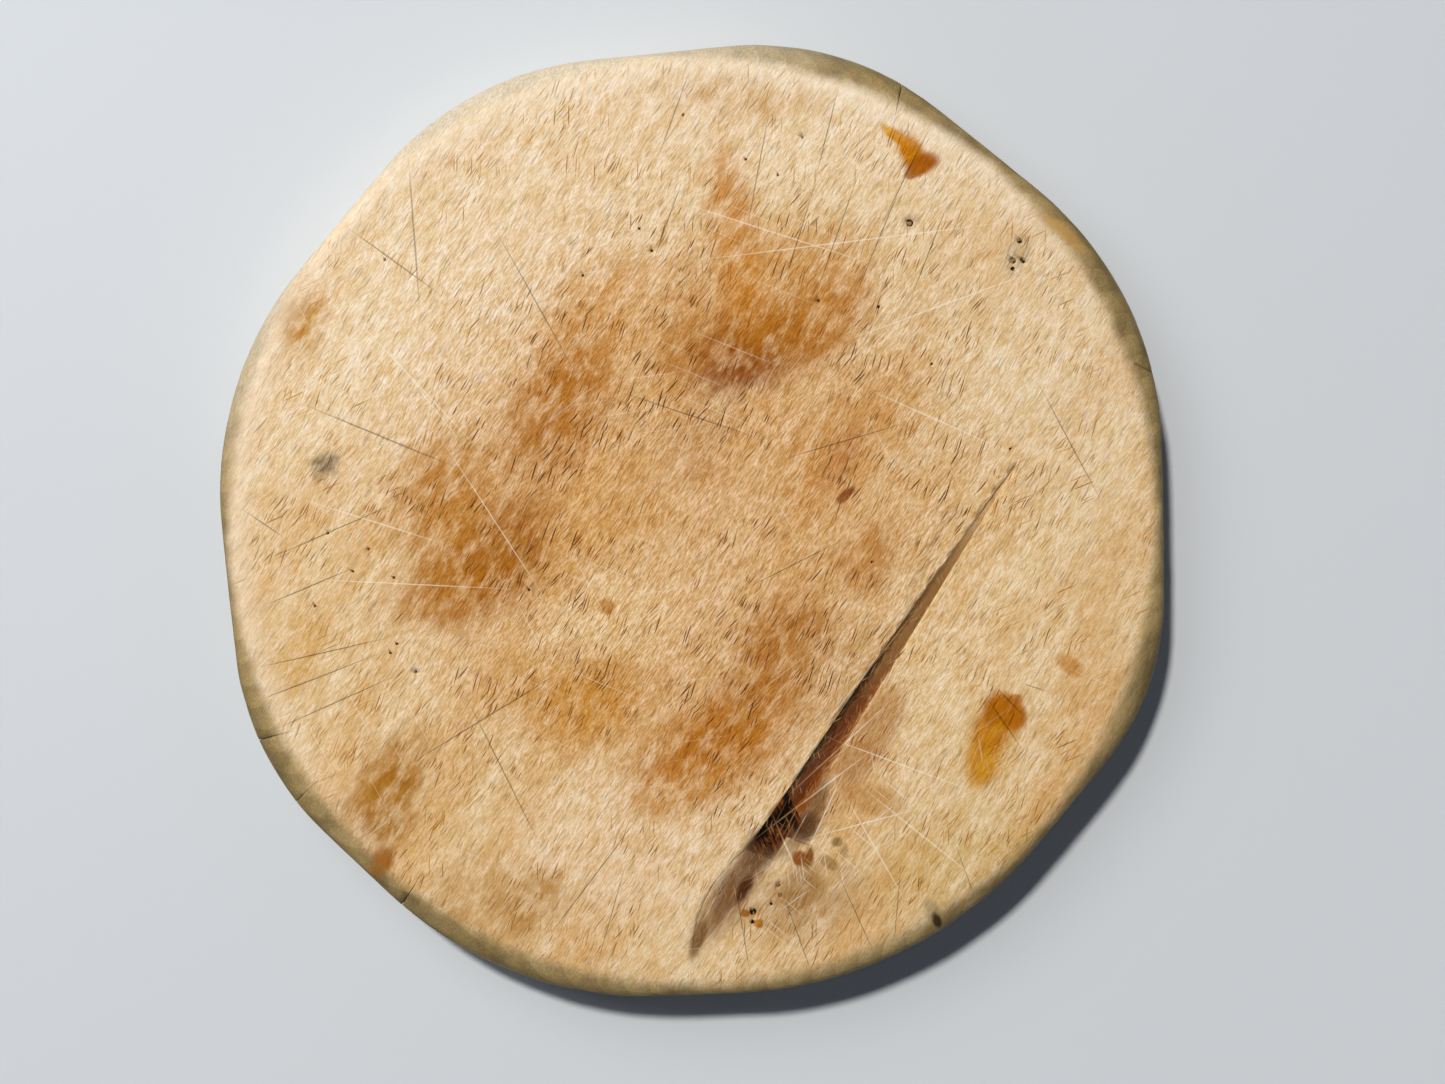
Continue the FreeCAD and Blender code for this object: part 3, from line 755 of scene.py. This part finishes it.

    # rim, darkened and polished by hands, and paler on the side facing the key light: partly real wear,
    # partly a painted highlight
    stripes = addNode(tree, "Mapping", {
        "Vector": coords, "Rotation": alongGrain, "Scale": [s * mm for s in look["grime"]],
    }, vector_type="TEXTURE")
    grime = addNode(tree, "TexNoise", {"Vector": stripes, "Scale": 1.0, "Detail": 4.0})
    fall = addNode(tree, "MapRange", {
        "Value": axes["Z"], "From Min": look["rimFall"][0] * mm, "From Max": look["rimFall"][1] * mm,
    }, interpolation_type="SMOOTHSTEP")
    rim = addNode(tree, "Mix", {"Factor": fall, "A": linear(look["rimTop"]), "B": linear(look["rim"])},
                  data_type="RGBA")
    rim = addNode(tree, "Mix", {
        "Factor": addNode(tree, "MapRange", {
            "Value": grime, "From Min": 0.4, "From Max": 0.7, "To Min": 0.0, "To Max": look["grimeShare"],
        }, interpolation_type="SMOOTHSTEP"),
        "A": rim, "B": linear(look["rimDark"]),
    }, data_type="RGBA")
    boardRadius = 150 * mm
    towardsLitSide = (look["wornAndLitSide"][0] / boardRadius, look["wornAndLitSide"][1] / boardRadius, 0)
    litSideFacing = addNode(tree, "VectorMath", {0: flat, 1: towardsLitSide}, operation="DOT_PRODUCT")
    lit = litSideFacing.node.outputs["Value"]
    rim = addNode(tree, "Mix", {
        "Factor": addNode(tree, "MapRange", {
            "Value": rings.node.outputs["Fac"], "From Min": 0.2, "From Max": 1.0, "To Min": 0.0,
            "To Max": look["ringOnRim"],
        }, interpolation_type="SMOOTHSTEP"),
        "A": rim, "B": linear(look["rimDark"]),
    }, data_type="RGBA")
    # worn pale and painted highlight on the side facing the key light
    rim = addNode(tree, "Mix", {
        "Factor": addNode(tree, "MapRange", {
            "Value": lit, "From Min": 0.55, "From Max": 1.0, "To Min": 0.0, "To Max": look["paleAndHighlightShare"],
        }, interpolation_type="SMOOTHSTEP"),
        "A": rim, "B": linear(look["rimPaleAndHighlight"]),
    }, data_type="RGBA")
    rim = addNode(tree, "Mix", {
        "Factor": look["rimStrand"], "A": rim, "B": strand,
    }, data_type="RGBA", blend_type="MULTIPLY")
    # A painted highlight: a pale band just inside the face's edge on the side facing the key light, in the
    # torn-fibre colour.
    ringFrom, ringTo = [faceEdge - inside * mm for inside in look["highlightRing"]]
    highlightRing = addNode(tree, "Math", {
        0: addNode(tree, "MapRange", {
            "Value": edge, "From Min": ringFrom, "From Max": ringTo,
        }, interpolation_type="SMOOTHSTEP"),
        1: addNode(tree, "MapRange", {
            "Value": lit, "From Min": -0.5, "From Max": 0.5, "To Min": 0.0, "To Max": look["highlightRingShare"],
        }, interpolation_type="SMOOTHSTEP"),
    }, operation="MULTIPLY")
    wood = addNode(tree, "Mix", {"Factor": highlightRing, "A": wood, "B": linear(look["tornAndHighlight"])}, data_type="RGBA")
    rimWood = addNode(tree, "Mix", {
        "Factor": under, "A": rim, "B": linear(look["underside"]),
    }, data_type="RGBA")
    wood = addNode(tree, "Mix", {"Factor": topFace, "A": rimWood, "B": wood}, data_type="RGBA")
    wood = paintMarks(tree, wood, loose, rimMarks, soft=0.4)

    # relief: fibres stand up, nicks and dark cuts are let in
    height = addNode(tree, "MapRange", {
        "Value": fibre, "From Min": 0.2, "From Max": 0.8, "To Min": 0.0, "To Max": look["fibreRise"],
    }, interpolation_type="SMOOTHSTEP")
    height = addNode(tree, "Math", {0: nickWork, 1: -look["nickDepth"], 2: height}, operation="MULTIPLY_ADD")
    height = addNode(tree, "Math", {0: cutWork, 1: -look["cutDepth"], 2: height}, operation="MULTIPLY_ADD")
    roughness = addNode(tree, "MapRange", {
        "Value": topFace, "From Min": 0.0, "From Max": 1.0, "To Min": look["rimRoughness"],
        "To Max": look["faceRoughness"],
    }, interpolation_type="SMOOTHSTEP")
    return {"colour": wood, "height": height, "roughness": roughness, "fibre": fibre, "pale": paleWork,
            "loose": loose, "hand": hand}


def newMaterial(name):
    made = bpy.data.materials.new(name)
    made.use_nodes = True
    made.node_tree.nodes.clear()
    return made, made.node_tree


dryGloss = 0.06   # specular level: dry scratched wood scatters most of its gloss


def finishMaterial(tree, colour, roughness, height, depth):
    bump = addNode(tree, "Bump", {"Height": height, "Strength": 1.0, "Distance": depth * mm})
    shader = addNode(tree, "BsdfPrincipled", {"Base Color": colour, "Roughness": roughness, "IOR": 1.5,
                                              "Specular IOR Level": dryGloss, "Normal": bump})
    addNode(tree, "OutputMaterial", {"Surface": shader})


def beechMaterial():
    # Beech, sawn and scraped, worn by knives: matte pale face, low sheen on the rim.
    material, tree = newMaterial("beechKnifeWorn")
    wood = wornBeech(tree)
    finishMaterial(tree, wood["colour"], wood["roughness"], wood["height"], beechLook["bump"])
    return material


barkLook = {
    "low": "#5A2406", "high": "#8A6034", "edge": "#0E0603", "rust": "#8C4606", "hair": "#C89A62",
    "width": 7.4, "tipWidth": 1.2,   # mm, at the knot and at the tip
    "threads": (55, 15, 1.0, 0.24),  # turn, cell length, cell width, reach in cells
    "hairReach": 0.22,
    "hairs": [(84, 9, 0.9), (28, 12, 0.9), (62, 14, 0.8), (104, 9, 0.9)],    # turn, cell length, cell width
    "roughness": 0.85, "lowerRoughness": 0.8, "bump": 0.4,
}


def hairyBark(tree, wood, colour, dark, pale):
    # Dark threads along the grain, and pale hairs that the knife has raised across them.
    threads = dashes(tree, wood["hand"], *barkLook["threads"])
    colour = addNode(tree, "Mix", {
        "Factor": addNode(tree, "Math", {0: threads, 1: dark}, operation="MULTIPLY"), "A": colour,
        "B": linear(barkLook["edge"]),
    }, data_type="RGBA")
    hairs = wood["pale"]
    for turn, length, across in barkLook["hairs"]:
        hairs = addNode(tree, "Math", {
            0: hairs, 1: dashes(tree, wood["hand"], turn, length, across, barkLook["hairReach"]),
        }, operation="MAXIMUM")
    return addNode(tree, "Mix", {"Factor": addNode(tree, "Math", {0: hairs, 1: pale}, operation="MULTIPLY"),
                                 "A": colour, "B": linear(barkLook["hair"])}, data_type="RGBA")


def barkMaterial():
    # Ingrown bark, cut flush: dry and brown, black along its crisp edge, rusty where it meets the wood.
    material, tree = newMaterial("barkCutFlush")
    wood = wornBeech(tree)
    look = barkLook
    turn = math.atan2(seamLine["along"].y, seamLine["along"].x)
    # mm from the knot along the seam, and across it from its crisp edge
    local = addNode(tree, "Mapping", {"Vector": wood["loose"], "Location": (*seamLine["start"], 0),
                                      "Rotation": (0, 0, turn), "Scale": (mm, mm, mm)}, vector_type="TEXTURE")
    axes = addNode(tree, "SeparateXYZ", {"Vector": local}).node.outputs
    width = addNode(tree, "MapRange", {
        "Value": axes["X"], "From Min": 0.0, "From Max": seamLine["length"] / mm, "To Min": -look["width"],
        "To Max": -look["tipWidth"],
    })
    share = addNode(tree, "Math", {0: axes["Y"], 1: width}, operation="DIVIDE")
    ragged = addNode(tree, "Math", {0: wood["fibre"], 1: 0.8, 2: share}, operation="MULTIPLY_ADD")
    bark = addNode(tree, "Mix", {
        "Factor": addNode(tree, "MapRange", {
            "Value": axes["X"], "From Min": 28, "From Max": 62,
        }, interpolation_type="SMOOTHSTEP"),
        "A": linear(look["low"]), "B": linear(look["high"]),
    }, data_type="RGBA")
    rustShare = addNode(tree, "Math", {
        0: addNode(tree, "MapRange", {
            "Value": ragged, "From Min": 0.9, "From Max": 1.35,
        }, interpolation_type="SMOOTHSTEP"),
        1: addNode(tree, "MapRange", {
            "Value": axes["X"], "From Min": 62, "From Max": 40,
        }, interpolation_type="SMOOTHSTEP"),
    }, operation="MULTIPLY")
    bark = addNode(tree, "Mix", {"Factor": rustShare, "A": bark, "B": linear(look["rust"])}, data_type="RGBA")
    blackShare = addNode(tree, "Math", {
        0: addNode(tree, "MapRange", {
            "Value": ragged, "From Min": 0.68, "From Max": 0.42,
        }, interpolation_type="SMOOTHSTEP"),
        1: addNode(tree, "MapRange", {
            "Value": axes["X"], "From Min": 110, "From Max": 30,
        }, interpolation_type="SMOOTHSTEP"),
    }, operation="MULTIPLY")
    bark = addNode(tree, "Mix", {
        "Factor": blackShare, "A": bark, "B": linear(look["edge"]),
    }, data_type="RGBA")
    bark = hairyBark(tree, wood, bark, dark=0.8, pale=0.6)
    cover = addNode(tree, "Math", {
        0: addNode(tree, "MapRange", {
            "Value": ragged, "From Min": 1.75, "From Max": 1.15,
        }, interpolation_type="SMOOTHSTEP"),
        1: addNode(tree, "MapRange", {
            "Value": axes["X"], "From Min": 128, "From Max": 80, "To Min": 0.15, "To Max": 0.95,
        }, interpolation_type="SMOOTHSTEP"),
    }, operation="MULTIPLY")
    colour = addNode(tree, "Mix", {"Factor": cover, "A": wood["colour"], "B": bark}, data_type="RGBA")
    finishMaterial(tree, colour, look["roughness"], wood["height"], look["bump"])
    return material


def lowerBarkMaterial():
    # The same bark where it thins out: grey-brown, worn and scratched, with the wood showing through.
    material, tree = newMaterial("barkWornThin")
    wood = wornBeech(tree)
    colour = hairyBark(tree, wood, wood["colour"], dark=0.55, pale=0.45)
    finishMaterial(tree, colour, barkLook["lowerRoughness"], wood["height"], barkLook["bump"])
    return material


knotLook = {
    "black": "#080403", "brown": "#4E2A12", "rust": "#904410",
    "splinter": (4.5, 0.6, 1.5), "splinterTurn": -70,   # mm, length, width and depth
    "middle": (24, -97, 0),
    "heart": ((27, -94.5), (13.5, 8), 56),   # the hard black middle: place, size along and across, turn
    "hairs": [(-66, 10, 0.9), (-38, 12, 0.9), (80, 9, 0.7)],   # turn, cell length, cell width
    "hairReach": 0.22, "hairShare": 0.5,
    "roughness": 0.75, "bump": 0.6,
}
knotBlack = [  # cracks and charred-looking places in it, in the same order
    ((29.4, -91.5), (6.5, 1.5), 64), ((30.6, -87.4), (2.6, 1.5), 10), ((28, -95.2), (2.4, 1.9), 20),
    ((22.6, -98), (7.5, 1.6), 53), ((32, -95), (3.6, 1.0), -62), ((35.4, -99.4), (4, 1.1), -34),
]


def knotMaterial():
    # Dead knot: hard black-brown wood, cracked, with rusty splinters fanning out of it into the bark.
    material, tree = newMaterial("deadKnotCracked")
    wood = wornBeech(tree)
    look = knotLook
    lie = addNode(tree, "Mapping", {
        "Vector": wood["loose"], "Location": [p * mm for p in look["middle"]],
        "Rotation": (0, 0, math.radians(look["splinterTurn"])), "Scale": [s * mm for s in look["splinter"]],
    }, vector_type="TEXTURE")
    splinter = addNode(tree, "TexNoise", {"Vector": lie, "Scale": 1.0, "Detail": 4.0, "Roughness": 0.7})
    colour = addNode(tree, "Mix", {
        "Factor": addNode(tree, "MapRange", {
            "Value": splinter, "From Min": 0.5, "From Max": 0.64,
        }, interpolation_type="SMOOTHSTEP"),
        "A": linear(look["brown"]), "B": linear(look["rust"]),
    }, data_type="RGBA")
    for place, size, turn in knotBlack:
        share = mark(tree, wood["loose"], place, size, turn, strength=0.95)
        colour = addNode(tree, "Mix", {
            "Factor": share, "A": colour, "B": linear(look["black"]),
        }, data_type="RGBA")
    colour = addNode(tree, "Mix", {
        "Factor": addNode(tree, "MapRange", {
            "Value": splinter, "From Min": 0.5, "From Max": 0.4,
        }, interpolation_type="SMOOTHSTEP"),
        "A": colour, "B": linear(look["black"]),
    }, data_type="RGBA")
    hairs = wood["pale"]
    for turn, length, across in look["hairs"]:
        hairs = addNode(tree, "Math", {
            0: hairs, 1: dashes(tree, wood["hand"], turn, length, across, look["hairReach"]),
        }, operation="MAXIMUM")
    colour = addNode(tree, "Mix", {
        "Factor": addNode(tree, "Math", {0: hairs, 1: look["hairShare"]}, operation="MULTIPLY"),
        "A": colour, "B": linear(barkLook["hair"]),
    }, data_type="RGBA")
    heart = mark(tree, wood["loose"], *look["heart"], soft=0.4)
    colour = addNode(tree, "Mix", {"Factor": heart, "A": wood["colour"], "B": colour}, data_type="RGBA")
    finishMaterial(tree, colour, look["roughness"], splinter, look["bump"])
    return material


pinKnotLook = {
    "dark": "#20140E", "pale": "#A08058",
    "pore": 1.1,                       # mm
    "roughness": 0.8, "bump": 0.3,
}


def pinKnotMaterial():
    # Pin knots: tiny ends of dead twigs, nearly black.
    material, tree = newMaterial("pinKnotEndGrain")
    look = pinKnotLook
    coords = addNode(tree, "TexCoord").node.outputs["Object"]
    pores = addNode(tree, "TexNoise", {"Vector": coords, "Scale": 1 / (look["pore"] * mm), "Detail": 3.0})
    colour = addNode(tree, "Mix", {
        "Factor": addNode(tree, "MapRange", {
            "Value": pores, "From Min": 0.46, "From Max": 0.6,
        }, interpolation_type="SMOOTHSTEP"),
        "A": linear(look["dark"]), "B": linear(look["pale"]),
    }, data_type="RGBA")
    finishMaterial(tree, colour, look["roughness"], pores, look["bump"])
    return material


slab.data.materials.clear()
for piece, material, node, slot in (
        (slab, beechMaterial(), "board_slab", "beech"),
        (seamUpper, barkMaterial(), "bark_seam_upper", "bark"),
        (seamLower, lowerBarkMaterial(), "bark_seam_lower", "bark"),
        (deadKnot, knotMaterial(), "dead_knot", "dead_knot"),
        (pinKnots, pinKnotMaterial(), "pin_knots", "dead_knot")):
    piece.data.materials.append(material)
    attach(piece, "root")
    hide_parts(node)
    print(material.name, len(material.node_tree.nodes), "nodes")


# Floor, light and camera
studio = {
    "floor": "#D8DEE5",
    "floorSize": 60.0,
    "cameraOver": (9.5 * mm, -6.7 * mm),   # the camera stands a little right of the board's middle
    "cameraHeight": 0.75,                  # above the working face
    "frameWidth": 0.4595,                  # width of the view at the working face
    "keyBearing": 122, "keyElevation": 60, "keySpread": 5.5, "keyStrength": 2.35,
    "fillBearing": 140, "fillElevation": 50, "fillDistance": 0.9, "fillSize": 0.6, "fillPower": 2.3,
    "sky": "#BCD0F2", "skyStrength": 0.062,
    "horizon": "#D5DAE0", "horizonStrength": 0.85,
    "horizonTop": 0.2, "skyFrom": 0.36,    # height of a direction of length 1
}


def standFloor():
    bm = bmesh.new()
    bmesh.ops.create_grid(bm, x_segments=2, y_segments=2, size=studio["floorSize"] / 2)
    floor = newPiece("floor", bm)
    material, tree = newMaterial("paleFloorMatte")
    shader = addNode(tree, "BsdfPrincipled", {"Base Color": linear(studio["floor"]), "Roughness": 0.9})
    addNode(tree, "OutputMaterial", {"Surface": shader})
    floor.data.materials.append(material)


def aimedAt(thing, target):
    thing.rotation_euler = (target - thing.location).to_track_quat("-Z", "Y").to_euler()


def addLamp(name, kind, bearing, elevation, distance, strength, tone):
    light = bpy.data.lights.new(name, kind)
    light.energy = strength
    light.color = linear(tone)[:3]
    lamp = bpy.data.objects.new(name, light)
    lamp.visible_camera = False
    bpy.context.scene.collection.objects.link(lamp)
    turn, rise = math.radians(bearing), math.radians(elevation)
    towards = Vector((math.cos(turn) * math.cos(rise), math.sin(turn) * math.cos(rise), math.sin(rise)))
    lamp.location = towards * distance
    aimedAt(lamp, Vector((0, 0, faceHeight)))
    return light


standFloor()
key = addLamp("key", "SUN", studio["keyBearing"], studio["keyElevation"], 2, studio["keyStrength"], "#FFFAF2")
key.angle = math.radians(studio["keySpread"])
fill = addLamp("fill", "AREA", studio["fillBearing"], studio["fillElevation"], studio["fillDistance"],
               studio["fillPower"], "#FFFFFF")
fill.shape = "DISK"
fill.size = studio["fillSize"]

world = bpy.data.worlds.new("studioSky")
bpy.context.scene.world = world
world.use_nodes = True
world.node_tree.nodes.clear()
# A pale band low down all round stands for the studio's walls; higher up the sky is dim and blue.
air = world.node_tree
direction = addNode(air, "TexCoord").node.outputs["Generated"]
height = addNode(air, "SeparateXYZ", {"Vector": direction}).node.outputs["Z"]
up = addNode(air, "MapRange", {
    "Value": height, "From Min": studio["horizonTop"], "From Max": studio["skyFrom"],
}, interpolation_type="SMOOTHSTEP")
tone = addNode(air, "Mix", {"Factor": up, "A": linear(studio["horizon"]), "B": linear(studio["sky"])},
               data_type="RGBA")
power = addNode(air, "Mix", {"Factor": up, "A": studio["horizonStrength"], "B": studio["skyStrength"]})
sky = addNode(air, "Background", {"Color": tone, "Strength": power})
addNode(air, "OutputWorld", {"Surface": sky})

lens = bpy.data.cameras.new("camera")
lens.sensor_width = 36
lens.lens = 36 * studio["cameraHeight"] / studio["frameWidth"]
camera = bpy.data.objects.new("camera", lens)
bpy.context.scene.collection.objects.link(camera)
camera.location = (*studio["cameraOver"], faceHeight + studio["cameraHeight"])
bpy.context.scene.camera = camera
bpy.context.scene.view_settings.view_transform = "Standard"
print("floor, key light, fill light, sky and camera are in place")
